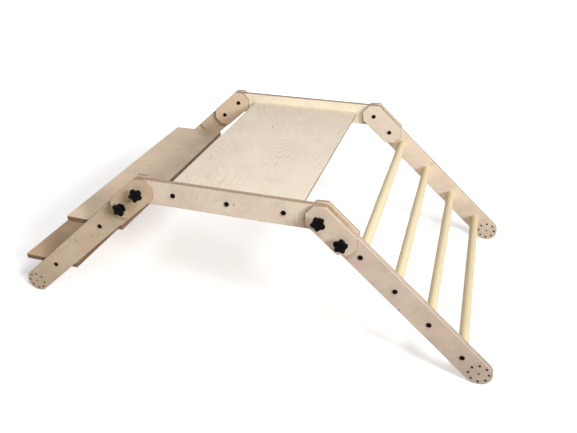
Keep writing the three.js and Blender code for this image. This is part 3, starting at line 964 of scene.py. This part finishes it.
# %% [markdown]
# ## Shape of a bolt
# Furniture bolts hold the board, the treads and the rungs: a flat, slightly domed head 15 mm wide with a hexagon
# socket, on a 6 mm shank. The clamp bolts have a smooth mushroom head instead, because only their knobs turn.
# Both are turned from a profile, and the socket is lofted down into the head.

# %% Shape of a bolt
SHANK, TIP, TIP_LENGTH, BOLT_SIDES = 3, 2.3, 0.9, 24
FLAT_HEAD = ((7.5, 0), (7.5, 1.2), (7.2, 1.9), (6.4, 2.5), (5.2, 2.85), (3.9, 3.0))  # radius and height
MUSHROOM_HEAD = ((7.75, 0), (7.75, 0.6), (7.3, 1.7), (6.3, 2.9), (4.8, 3.8), (2.9, 4.35), (0.9, 4.5))
SOCKET, SOCKET_DEPTH, SOCKET_RIM = 2.0, 1.6, 0.25


def hexagon_ring(apothem, height):
    """A hexagon with as many points as the round rings, so that it can be lofted to them."""
    points = []
    for i in range(BOLT_SIDES):
        angle = math.tau * i / BOLT_SIDES
        radius = apothem / math.cos((angle + math.pi / 6) % (math.pi / 3) - math.pi / 6)
        points.append((radius * math.cos(angle), radius * math.sin(angle), height))
    return points


def bolt_mesh(head, length, socket):
    """A bolt that stands on its tip, with the seat of its head length above it."""
    profile = [(TIP, 0), (SHANK, TIP_LENGTH), (SHANK, length)]
    rings = round_rings(profile + [(radius, length + height) for radius, height in head], BOLT_SIDES)
    if socket:
        top = rings[-1][0][2]
        rings += [hexagon_ring(SOCKET + SOCKET_RIM, top), hexagon_ring(SOCKET, top - SOCKET_RIM),
                  hexagon_ring(SOCKET, top - SOCKET_DEPTH)]
    mesh = stack_rings("Bolt", rings)
    shade(mesh, 34)
    return mesh


print("head width:", 2 * FLAT_HEAD[0][0], "mm")

# %% [markdown]
# ## Rows of bolts
# The row tree copies one bolt along a rail or from pivot to pivot. A furniture bolt goes through its rail and 30 mm
# into what it holds. A clamp bolt comes from the inner plate, through both plates, and ends inside its knob.

# %% Rows of bolts
BOLT_REACH = 30  # past the rail's inner face
CLAMP_TIP, CLAMP_LENGTH = 449.6, 62.2  # from the middle plane, and from tip to seat
HELD = {"platform": "middle", "tread": "step", "rung": "ladder"}


def bolt_row(name, mesh, count, pitch, place, nodes, body, seed):
    """A row of bolts in its place, for the CAD bolts that it stands for."""
    master = new_object("Bolt", mesh)
    row = copies(ROW_TREE, name, master, count, pitch, black_steel, math.tau, seed)
    bpy.data.objects.remove(master)
    put(row, place)
    bolts = new_object(name, row)
    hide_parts(*nodes)
    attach(bolts, body)


for side in OUTWARD:
    for kind, holder in HELD.items():
        (first, second), count = BOLT_XS[holder][:2], len(BOLT_XS[holder])
        bolt_row(f"{kind}_bolts_{side}_steel", bolt_mesh(FLAT_HEAD, BOLT_REACH + RAIL["thickness"] + SEAT, True),
                 count, second - first,
                 FRAMES[holder] @ Matrix.Translation((first, 0, 0)) @ stand(side, INNER - BOLT_REACH),
                 [f"{kind}_bolt_{side}_{i + 1}" for i in range(count)], f"{holder}_frame", first + count)
    for end in SIGN:
        bolt_row(f"{end}_clamp_bolts_{side}_steel", bolt_mesh(MUSHROOM_HEAD, CLAMP_LENGTH, False), 2,
                 SIGN[end] * LINK, LINKS[end] @ stand(side, CLAMP_TIP) @ Matrix.Diagonal((1, 1, -1, 1)),
                 [f"{end}_clamp_bolt_{side}_{level}" for level in ("upper", "lower")], f"{end}_link", 3)
print("bolt rows:", 2 * (len(HELD) + len(SIGN)))

# %% [markdown]
# ## Shape of a star knob
# Each clamp bolt is tightened by a five-lobed star knob, 43 mm wide. It is lofted from rings: the bore, the hub,
# then the star's rounded rim and its low crown. The star is a round ring that swells five times on its way round,
# and towards the middle of the crown it goes back to round.

# %% Star knob
KNOB = {"radius": 21.5, "flute": 6.0, "rim": 2.3, "crown": 3.4, "height": 28.0, "hub": 10.0, "hub_height": 14.0,
        "bore": 3.3, "bore_depth": 20}
KNOB_LOBES, KNOB_SIDES = 5, 100


def star_ring(share, inset, height, turn):
    """A ring between round and star-shaped: share 0 is round, 1 is the full star."""
    points = []
    for i in range(KNOB_SIDES):
        angle = math.tau * i / KNOB_SIDES
        middle = KNOB["radius"] - KNOB["flute"] / 2 - inset
        radius = middle + share * KNOB["flute"] / 2 * math.cos(KNOB_LOBES * angle)
        points.append((radius * math.cos(angle + turn), radius * math.sin(angle + turn), height))
    return points


def star_knob(name, turn):
    """A star knob that stands on its hub, with a blind bore from below."""
    top, bore, hub, rise = KNOB["height"], KNOB["bore"], KNOB["hub"], KNOB["hub_height"]
    rim, crown = KNOB["rim"], KNOB["crown"]
    rings = round_rings(((bore, KNOB["bore_depth"]), (bore, 0.4), (bore + 0.4, 0), (hub - 0.8, 0), (hub, 0.8),
                         (hub, rise - 0.6)), KNOB_SIDES)
    rings += [star_ring(0.7, 5.5, rise + 0.1, turn), star_ring(0.95, 1.6, rise + 0.5, turn)]
    for degrees in range(20, 91, 14):
        a = math.radians(degrees)
        rings.append(star_ring(1, 2 * (1 - math.sin(a)), rise + rim - rim * math.cos(a), turn))
    for degrees in range(6, 91, 14):
        a = math.radians(degrees)
        height = top - 4.2 + crown * math.sin(a)
        rings.append(star_ring(1 - 0.1 * math.sin(a), crown * (1 - math.cos(a)), height, turn))
    rings += [star_ring(0.75, 5.5, top - 0.5, turn), star_ring(0.45, 9.5, top - 0.15, turn),
              star_ring(0.15, 14.0, top, turn)]
    return stack_rings(name, rings)


print("knob width:", 2 * KNOB["radius"], "mm")

# %% [markdown]
# ## Eight knobs
# Each knob rides its own spindle, so it is a piece of its own and can turn. The ones in the picture stopped at the
# turns given here, and the far ones stopped alike.

# %% Knobs
KNOB_SEAT = 430.6
KNOB_TURNS = {("left", "upper"): 7, ("left", "lower"): 37, ("right", "upper"): 18, ("right", "lower"): 56}
for (end, level), degrees in KNOB_TURNS.items():
    for side in OUTWARD:
        name = f"{end}_knob_{side}_{level}"
        mesh = star_knob(name, math.radians(degrees))
        shade(mesh, 50)
        x = SIGN[end] * LINK if level == "lower" else 0
        put(mesh, LINKS[end] @ Matrix.Translation((x, 0, 0)) @ stand(side, KNOB_SEAT))
        mesh.materials.append(black_nylon)
        knob = new_object(f"{name}_nylon", mesh)
        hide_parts(name)
        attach(knob, f"{name}_turn")
print("knob faces:", len(mesh.polygons))

# %% [markdown]
# ## End

# %% End
print("all pieces are made")
